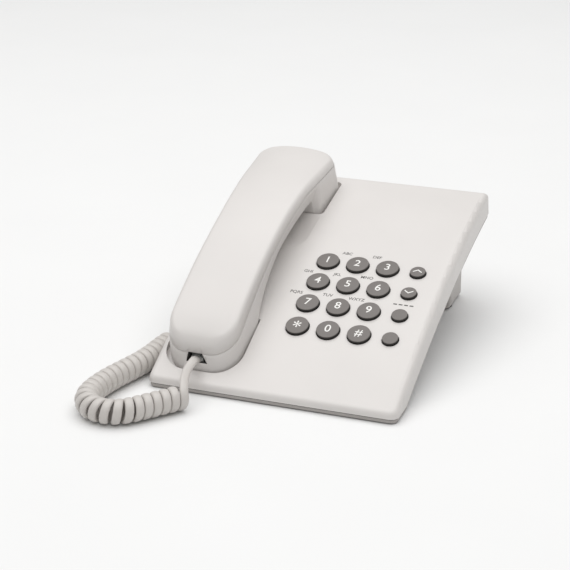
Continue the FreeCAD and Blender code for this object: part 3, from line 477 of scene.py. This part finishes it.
def ribbon_tube(name, path, normals, wide, thick, around=14):
    """Tube of flat-oval section whose thin way lies along the normals."""
    rows = []
    for number, point in enumerate(path):
        tangent = (path[min(number + 1, len(path) - 1)] - path[max(number - 1, 0)]).normalized()
        normal = (normals[number] - tangent * normals[number].dot(tangent)).normalized()
        side = tangent.cross(normal)
        row = []
        for step in range(around):
            angle = 2 * math.pi * step / around
            across, out = math.cos(angle), math.sin(angle)
            reach_wide = math.copysign(abs(across) ** 0.8, across) * wide / 2
            reach_thick = math.copysign(abs(out) ** 0.8, out) * thick / 2
            row.append(point + side * reach_wide + normal * reach_thick)
        rows.append(row)
    return grid_mesh(name, rows, closed=True, caps=True)


def make_cord():
    """The coil with its tail under the base, and the short tail at the handset's end."""
    helix, outward = helix_path()
    lead = helix[0] + (helix[0] - helix[1]).normalized() * HANDSET_LEAD
    rising = smooth_line([helix[0], lead] + [Vector(point) for point in reversed(HANDSET_TAIL)], 1.0)
    tail_normals = list(reversed(outward[1:TAIL_STEPS + 1])) + carried(rising, outward[0])
    tail_path = list(reversed(helix[1:TAIL_STEPS + 1])) + rising
    tail_mesh = ribbon_tube("cord_tail", tail_path, tail_normals, WIRE_WIDE, WIRE_THICK)
    tail = new_object("cord_tail", tail_mesh, CORD)
    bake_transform(tail)
    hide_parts("cord_handset_tail")

    lead = helix[-1] + (helix[-1] - helix[-2]).normalized() * BASE_LEAD
    last = smooth_line([helix[-1], lead] + [Vector(point) for point in BASE_TAIL], 1.0)[1:]
    coil_path = list(reversed(helix[TAIL_STEPS:] + last))
    coil_normals = list(reversed(outward[TAIL_STEPS:] + carried(last, outward[-1])))
    coil_mesh = ribbon_tube("curly_cord", coil_path, coil_normals, WIRE_WIDE, WIRE_THICK)
    coil = new_object("curly_cord", coil_mesh, CORD, "base")
    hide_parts("cord_coil", "cord_base_tail")


make_cord()


# ---------------------------------------------------------------- handset

# The handset's long lines: y, half width at the seam, then rises above the arched base of the seam,
# of the crown's side edges and of the crown's middle.
HANDSET_LINES = [
    (-91, 21.8, 8.8, 13.7, 14.5), (-86, 21.8, 9.4, 17.2, 18.2), (-76, 21.9, 10.6, 19.9, 21.4),
    (-57, 21.9, 14.2, 22.3, 24.1), (-32, 21.9, 18.0, 24.5, 26.1), (-3, 22.1, 20.1, 25.7, 27.2),
    (8, 22.4, 20.5, 25.9, 27.5), (30, 23.3, 20.6, 25.2, 27.3), (45, 24.4, 19.5, 23.6, 26.8),
    (60, 25.3, 18.0, 21.6, 26.0), (84, 26.4, 15.8, 19.4, 24.5)]
seam_half, seam_rise = curve_through(HANDSET_LINES, 1), curve_through(HANDSET_LINES, 2)
edge_rise, crown_rise = curve_through(HANDSET_LINES, 3), curve_through(HANDSET_LINES, 4)

# The underside: y, rise above the arched base and how far its edge lies inside the seam's outline.
UNDERSIDE = [
    (-91, SOLE, 0.3), (-86, SOLE, 0.1), (-76, SOLE, -0.5), (-62, SOLE, -1.2), (-56, SOLE, -1.5),
    (-53.5, -2.5, -1.5), (-51.2, 0.2, -1.3), (-45, 4.0, -0.5), (-36, 6.6, 0.3), (-28, 8.3, 0.8),
    (-18, 9.4, 1.5), (-5, 10.0, 2.1), (20, 9.8, 2.4), (44, 9.2, 2.4), (46.4, 8.4, 2.7), (47.6, 5.0, 3.0),
    (48.8, -0.5, 2.4), (50.2, -2.7, 0.6), (52.3, SOLE, -0.9), (87, SOLE, -1.1)]
under_rise, under_inset = curve_through(UNDERSIDE, 1), curve_through(UNDERSIDE, 2)

SEAM_GAP = 0.08             # from the seam's line to each shell
SEAM_LIP = 0.3              # how far the shells' edges are broken at the seam
EDGE_INSET = 0.6            # from the seam's outline to the crown's wall
UNDER_RADIUS = 1.6          # of the edge round the underside
EAR_LEAN = 0.125
LEAN_END_Y = 84.0           # past this the lean is also taken along the arch
SPINE = (MOUTH_END_Y + 22.0, EAR_END_Y - 28.0)
TO_SPINE = 99.0             # an inset that reaches the spine from anywhere


def handset_plan():
    """Outline of the handset in plan at its seam, as (x, y) all the way round from the mouth end."""
    mouth_r, ear_r, top_y = 15.0, 8.0, EAR_END_Y - 3.6
    corner_y = MOUTH_END_Y + 0.2 + mouth_r
    mouth_x = seam_half(corner_y) - mouth_r
    ear_x = seam_half(top_y - ear_r) - ear_r
    right = [(mouth_x * share, MOUTH_END_Y + 0.2) for share in (0.0, 0.35, 0.7)]
    for step in range(25):
        angle = math.pi / 2 * step / 24
        right.append((mouth_x + mouth_r * math.sin(angle), corner_y - mouth_r * math.cos(angle)))
    y = corner_y
    while y < top_y - ear_r - 1.5:
        y += 0.3 if 44.5 < y < 53.5 else 1.6
        right.append((seam_half(y), y))
    for step in range(19):
        angle = math.pi / 2 * step / 18
        right.append((ear_x + ear_r * math.cos(angle), top_y - ear_r + ear_r * math.sin(angle)))
    right += [(ear_x * share, top_y) for share in (0.75, 0.5, 0.25)]
    right.append((0.0, top_y))
    return right + [(-x, y) for x, y in reversed(right[1:-1])]


def inward(x, y, inset):
    """Move an outline point towards the handset's spine by this much."""
    spine = Vector((0.0, min(max(y, SPINE[0]), SPINE[1])))
    way = spine - Vector((x, y))
    moved = Vector((x, y)) + way * min(1.0, inset / max(way.length, 1e-6))
    return moved.x, moved.y


def rounded(distance, radius):
    """Drop of a rounded edge at this distance from the wall."""
    if distance >= radius:
        return 0.0
    return radius - math.sqrt(max(0.0, radius ** 2 - (radius - distance) ** 2))


def handset_point(x, y, rise):
    """Place a plan point at this rise; the ear end leans towards the mouth as it goes up."""
    lean = EAR_LEAN * (rise - seam_rise(y)) * fade((y - 55.0) / 25.0)
    under_y = y if y < LEAN_END_Y else y - lean
    return CRADLE_X + x, y - lean, arch_height(under_y, rise)


def crown_at(x, y):
    """Rise of the crown, which falls from its middle to its side edges."""
    share = min(1.0, abs(x) / (seam_half(y) - EDGE_INSET))
    return crown_rise(y) - (crown_rise(y) - edge_rise(y)) * share ** 2.2


def edge_radius(y):
    """Radius of the crown's edge, smaller towards the mouth end."""
    largest = 2.9 - 0.7 * fade((-77.0 - y) / 11.0)
    return min(largest, 0.82 * (edge_rise(y) - seam_rise(y)))


def ring_of(plan, inset, rise):
    """One closed ring: `inset` and `rise` are functions of the place in plan."""
    ring = []
    for x, y in plan:
        px, py = inward(x, y, inset(x, y))
        ring.append(handset_point(px, py, rise(px, py)))
    return ring


def outer_shell():
    """Crowned upper shell, closed below just above the seam."""
    plan = handset_plan()

    def foot(x, y):
        return seam_rise(y) + SEAM_GAP

    rings = [ring_of(plan, lambda x, y: TO_SPINE, foot), ring_of(plan, lambda x, y: SEAM_LIP, foot),
             ring_of(plan, lambda x, y: 0.0, lambda x, y: foot(x, y) + SEAM_LIP)]
    for step in range(1, 11):
        turn = math.pi / 2 * step / 10
        rings.append(ring_of(
            plan, lambda x, y: EDGE_INSET + edge_radius(y) * (1 - math.cos(turn)),
            lambda x, y: crown_at(x, y) - edge_radius(y) * (1 - math.sin(turn))))
    for extra in (0.8, 2.2, 4.2, 7.0, 10.0, 13.0, 16.0):
        rings.append(ring_of(plan, lambda x, y: EDGE_INSET + edge_radius(y) + extra, crown_at))
    rings.append(ring_of(plan, lambda x, y: TO_SPINE, crown_at))
    return rings


def corner_share(x, y):
    """How far into a rounded corner of this size a place lies, from 0 at its ends to 1 in its middle."""
    if x <= 0 or y <= 0:
        return 0.0
    return math.sin(2 * math.atan2(x, y))


def under_edge(x, y):
    """Inset of the underside's edge: fuller ear corners, a rounder left corner at the mouth."""
    mouth = 0.8 * corner_share(-(x + 6.8), -(y + 75.8))
    ear = 1.7 * corner_share(abs(x) - 18.0, y - 75.0)
    return under_inset(y) + mouth - ear


def inner_shell():
    """Lower shell: walls from the seam down to the arched grip, the ear block and the mouth block."""
    plan = handset_plan()

    def head(x, y):
        return seam_rise(y) - SEAM_GAP

    def sole(x, y):
        return under_rise(y)

    rings = [ring_of(plan, lambda x, y: TO_SPINE, head), ring_of(plan, lambda x, y: SEAM_LIP, head)]
    for share in (0.04, 0.25, 0.5, 0.75, 0.9):
        rings.append(ring_of(
            plan, lambda x, y: under_edge(x, y) * share,
            lambda x, y: seam_rise(y) - share * (seam_rise(y) - under_rise(y) - UNDER_RADIUS)))
    for step in range(7):
        turn = math.pi / 2 * step / 6
        rings.append(ring_of(
            plan, lambda x, y: under_edge(x, y) + UNDER_RADIUS * (1 - math.cos(turn)),
            lambda x, y: under_rise(y) + UNDER_RADIUS * (1 - math.sin(turn))))
    for extra in (1.0, 3.0, 6.0, 10.0, 14.0):
        rings.append(ring_of(plan, lambda x, y: under_edge(x, y) + UNDER_RADIUS + extra, sole))
    rings.append(ring_of(plan, lambda x, y: TO_SPINE, sole))
    return rings


def notch_cutter():
    """Tapered opening at the mouth end that the cord's plug goes into."""
    outline = [(-6.4, 15.6), (6.6, 15.6), (3.4, 21.6), (-5.0, 21.6)]
    rows = [[(CRADLE_X + x, y, z) for x, z in outline] for y in (-96.0, -83.0)]
    # The notch's faces, left on the shells by the cut, take this painted shadow.
    return new_object("notch", grid_mesh("notch", rows, closed=True, caps=True), SHADE_DARK)


def grille_cutter():
    """Sound holes: seven under the receiver and three under the microphone."""
    holes = [(EAR_Y, 1.1, 6.0 * math.cos(math.radians(60 * n)), 6.0 * math.sin(math.radians(60 * n)))
             for n in range(6)] + [(EAR_Y, 1.1, 0.0, 0.0)]
    holes += [(MICROPHONE_Y, 0.9, 3.5 * n, 0.0) for n in (-1, 0, 1)]
    meshes = []
    for y, radius, x, along in holes:
        turns = [math.pi * n / 12 for n in range(24)]
        circle = [(x + radius * math.cos(turn), along + radius * math.sin(turn)) for turn in turns]
        rows = [[(a, b, z) for a, b in circle] for z in (-2.0, 2.0)]
        data = grid_mesh("hole", rows, closed=True, caps=True)
        data.transform(on_arch(CRADLE_X, y, SOLE))
        meshes.append(data)
    # The holes' walls take this cutter's painted shade.
    return new_object("grille", joined("grille", meshes), SHADE)


def make_handset():
    top = new_object("handset_top", grid_mesh("handset_top", outer_shell(), closed=True), CASE)
    carve(top, notch_cutter())
    under = new_object("handset_under", grid_mesh("handset_under", inner_shell(), closed=True), CASE)
    carve(under, notch_cutter())
    carve(under, grille_cutter())
    for piece, node in ((top, "handset_outer_shell"), (under, "handset_inner_shell")):
        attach(piece, "handset")
        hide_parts(node)


make_handset()


# ---------------------------------------------------------------- keys and their legends

LEGENDS = {"key_1": "1", "key_2": "2", "key_3": "3", "key_4": "4", "key_5": "5", "key_6": "6", "key_7": "7",
           "key_8": "8", "key_9": "9", "key_0": "0", "key_star": "*", "key_hash": "#"}
KEY_EDGE, KEY_DISH, KEY_SKIRT = 0.4, 0.3, -3.4    # rounded rim, domed top and foot of a cap
STAR_HEIGHT, STAR_DROP, DIGIT_HEIGHT, LETTER_HEIGHT = 11.5, -2.0, 7.8, 3.3
DASHES_X, DASHES_Y, DASH_PITCH = 50.6, -24.7, 3.3
INK_WHITE = moulded("legend_white", (0.86, 0.85, 0.82), roughness=0.5)
INK_DARK = moulded("print_dark", (0.11, 0.105, 0.10), roughness=0.55)


def flat_text(name, text, height, place, material, body):
    """Printed characters standing a hair above the surface."""
    curve = bpy.data.curves.new(name, "FONT")
    curve.body = text
    curve.align_x = "CENTER"
    curve.align_y = "CENTER"
    curve.size = height * MM
    curve.offset = 0.006 * height * MM
    curve.extrude = 0.04 * MM
    holder = bpy.data.objects.new(name, curve)
    mesh = bpy.data.meshes.new_from_object(holder)
    bpy.data.objects.remove(holder)
    mesh.transform(place)
    return new_object(name, mesh, material, body)


def chevron(name, x, y, way, body):
    """Printed chevron that points up or down the case: `way` is 1 or -1."""
    points = [(-2.7, -0.95), (0.0, 0.95), (2.7, -0.95)]
    rows = []
    for offset in (-0.45, 0.45):
        rows.append([(a, way * (b + offset), 0.0) for a, b in points])
    data = grid_mesh(name, rows)
    data.transform(on_arch(x, y, KEY_RISE + 0.03))
    return new_object(name, data, INK_WHITE, body)


def cap_profile(radius):
    """A cap's rounded rim and slightly domed top, from the rim's outside to the middle."""
    rim = KEY_RISE - KEY_DISH
    profile = []
    for degrees in range(20, 91, 10):
        turn = math.radians(degrees)
        profile.append((radius - KEY_EDGE * (1 - math.cos(turn)), rim - KEY_EDGE * (1 - math.sin(turn))))
    for share in (0.85, 0.65, 0.45, 0.25, 0.1, 0.0):
        profile.append((share * (radius - KEY_EDGE), KEY_RISE - KEY_DISH * share ** 2))
    return profile


def key_legend(name, x, y, body):
    """Printed sign on a cap, or none on the two blank keys."""
    if name in LEGENDS:
        tall, drop = (STAR_HEIGHT, STAR_DROP) if name == "key_star" else (DIGIT_HEIGHT, 0.0)
        place = on_arch(x, y, KEY_RISE - 0.03) @ Matrix.Translation((0, drop * MM, 0))
        return flat_text(f"{name}_legend", LEGENDS[name], tall, place, INK_WHITE, body)
    if name.startswith("key_volume"):
        return chevron(f"{name}_legend", x, y, 1 if name.endswith("up") else -1, body)
    return None


def key_caps():
    for row, names in enumerate(KEY_ROWS):
        y = up_the_arch(KEY_Y, -row * KEY_PITCH_ARC)
        for column, name in enumerate(names):
            x = KEY_X + column * KEY_PITCH_X
            radius = SMALL_KEY_RADIUS if column == 3 else KEY_RADIUS
            body = f"{name}_cap"
            profile = cap_profile(radius)
            skirt = [(radius - 0.6, KEY_SKIRT), (radius, KEY_SKIRT), (radius, KEY_RISE - 0.7), profile[0]]
            cap = lathe(f"{name}_top", profile, on_arch(x, y), KEY, body)
            # The cap's side carries the painted shade.
            side = lathe(f"{name}_side", skirt, on_arch(x, y), KEY_SIDE_PAINTED_SHADE, body)
            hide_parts(name)
            for piece in (cap, side, key_legend(name, x, y, body)):
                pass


LETTERS = [("ABC", 9.0, 12.7), ("DEF", 27.9, 12.5), ("GHI", -9.1, -7.1), ("JKL", 9.1, -6.9),
           ("MNO", 27.5, -6.4), ("PQRS", -10.2, -25.5), ("TUV", 9.1, -24.8), ("WXYZ", 27.1, -25.2)]


def printed_letters():
    """Dial letters on the case and a plain row of dashes over the third small key."""
    for text, x, y in LETTERS:
        place = on_arch(x, y, 0.02)
        mark = flat_text(f"letters_{text.lower()}", text, LETTER_HEIGHT, place, INK_DARK, "base")
    dashes = []
    for number in range(4):
        rows = [[(a, b, 0.0) for a in (-1.15, 1.15)] for b in (-0.45, 0.45)]
        data = grid_mesh("dash", rows)
        data.transform(on_arch(DASHES_X + DASH_PITCH * number, DASHES_Y, 0.05))
        dashes.append(data)
    mark = new_object("small_key_mark", joined("small_key_mark", dashes), INK_DARK, "base")


key_caps()
printed_letters()


# ---------------------------------------------------------------- fittings behind and below

CASE_HALF, NOSE_RADIUS, REAR_RADIUS = 75.0, 5.0, 2.0
CASE_FRONT, CASE_REAR = -100.0, 100.0
SEAM_INSET, SEAM_LOW, SEAM_HIGH = 0.42, -0.18, 0.3
LABEL_Y = -16.0


def belly_height(y):
    return BELLY_Z + math.sqrt(BELLY_RADIUS ** 2 - (ARCH_Y - y) ** 2)


def belly_frame(x, y, rise=0.0):
    """Metre matrix on the outside of the belly, with local Z square to it and pointing into the case."""
    slope = math.asin((ARCH_Y - y) / BELLY_RADIUS)
    turn = Matrix.Rotation(slope, 4, "X")
    centre = Vector((x, y - rise * math.sin(slope), belly_height(y) + rise * math.cos(slope))) * MM
    return Matrix.Translation(centre) @ turn


def contacts():
    """Sprung gold wires in the jacks and the blades of the plugs."""
    sets = [("line_contacts", on_arch(LINE_JACK_X, REAR_Y), 6, 1.02, 2.6, -6.3, 7.0, "base"),
            ("base_plug_blades", on_arch(JACK_X, JACK_Y), 4, 1.27, 13.0, -12.3, 4.0, "base"),
            ("handset_plug_blades", on_arch(CRADLE_X, -80.0), 4, 1.27, -0.6, 0.35, 4.0, "handset")]
    for name, frame_place, count, pitch, y, z, long, body in sets:
        blades = []
        for number in range(count):
            shift = Matrix.Translation(Vector(((number - (count - 1) / 2) * pitch, y, z)) * MM)
            blades.append(box_mesh("blade", 0.45, long, 0.4, 0.08, frame_place @ shift))
        new_object(name, joined(name, blades), GOLD, body)


def slider_ribs():
    for name, x in SWITCHES:
        ribs = []
        for number in range(3):
            place = on_arch(x - 2.0, REAR_Y) @ Matrix.Translation(Vector((-1.0 + number, 8.15, -9.5)) * MM)
            ribs.append(box_mesh("rib", 0.45, 0.5, 3.0, 0.1, place))
        body = {"ringer": "ringer_slider", "mode": "mode_slider"}[name]
        new_object(f"{name}_slider_ribs", joined(f"{name}_ribs", ribs), SLIDER, body)


def screw_crosses():
    """Cross recesses on the heads of the case screws, as thin black bars of painted shade."""
    for number, (x, y) in enumerate(CASE_SCREWS):
        plate = (arch_height(y) - belly_height(y) - PLATE) * math.cos(arch_slope(y))
        place = on_arch(x, y) @ Matrix.Translation(Vector((0, 0, -plate - 2.44)) * MM)
        bars = [box_mesh("bar", wide, long, 0.06, 0.02, place) for wide, long in ((2.6, 0.6), (0.6, 2.6))]
        new_object(f"screw_cross_{number}", joined(f"screw_cross_{number}", bars), JACK_AND_RECESS_SHADE, "base")


def case_seam_shade():
    """Thin strip of painted shadow in the joint between the two halves of the case, just inside the upper
    half's outline.
    """
    nose_y, rear_y = CASE_FRONT + NOSE_RADIUS, CASE_REAR - REAR_RADIUS
    outline = []
    for degrees in range(-90, 1, 10):
        turn, reach = math.radians(degrees), NOSE_RADIUS - SEAM_INSET
        outline.append((CASE_HALF - NOSE_RADIUS + reach * math.cos(turn), nose_y + reach * math.sin(turn)))
    for step in range(1, 61):
        outline.append((CASE_HALF - SEAM_INSET, nose_y + (rear_y - nose_y) * step / 60))
    for degrees in range(0, 91, 15):
        turn, reach = math.radians(degrees), REAR_RADIUS - SEAM_INSET
        outline.append((CASE_HALF - REAR_RADIUS + reach * math.cos(turn), rear_y + reach * math.sin(turn)))
    outline += [(-x, y) for x, y in reversed(outline)]
    rows = []
    for x, y in outline:
        edge = PLATE + max(0.8, belly_height(y))
        rows.append([(x, y, edge + SEAM_LOW), (x, y, edge + SEAM_HIGH)])
    rows.append(rows[0])
    seam = new_object("case_seam_shade", grid_mesh("case_seam_shade", rows), SHADE_DARK, "base")


def plain_label():
    """Blank rating plate that follows the belly, with a thin printed frame."""
    for name, wide, long, lift, material in (("label_plate", 52.0, 26.0, -0.06, LABEL),
                                             ("label_frame", 48.0, 22.0, -0.10, INK_DARK),
                                             ("label_field", 47.2, 21.2, -0.13, LABEL)):
        rows = []
        for step in range(9):
            along = -long / 2 + long * step / 8
            place = belly_frame(0.0, LABEL_Y + along, lift)
            rows.append([tuple((place @ Vector((side * wide / 2 * MM, 0, 0))) / MM) for side in (-1, 1)])
        new_object(name, grid_mesh(name, rows), material, "base")


contacts()
slider_ribs()
screw_crosses()
case_seam_shade()
plain_label()

# The lower case and the wall stand take darker copies of the case plastic, whose darkening is painted
# shade.
FINISHES = {
    "upper_case": CASE, "lower_case": CASE_LOWER_PAINTED_SHADE, "wall_stand": STAND_PAINTED_SHADE, "rubber_feet": FOOT,
    "keypad_membrane": MEMBRANE, "main_board": BOARD, "board_screws": STEEL, "case_screws": STEEL,
    "line_jack": JACK_AND_RECESS_SHADE, "ringer_switch_body": SWITCH, "dial_mode_switch_body": SWITCH,
    "ringer_switch_slider": SLIDER, "dial_mode_switch_slider": SLIDER, "hook_switch": SWITCH,
    "hook_plunger": CASE, "hanger_tab": CASE, "ringer_buzzer": JACK_AND_RECESS_SHADE, "ringer_diaphragm": BRASS,
    "base_jack": JACK_AND_RECESS_SHADE, "base_plug": CLEAR, "receiver_gasket": FOOT, "receiver_capsule": CAPSULE,
    "microphone_boot": FOOT, "microphone": CAPSULE, "balance_weight": WEIGHT, "handset_jack": JACK_AND_RECESS_SHADE,
    "handset_plug": CLEAR, "handset_screw": STEEL}

for node, material in FINISHES.items():
    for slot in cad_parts[node].material_slots:
        slot.material = material
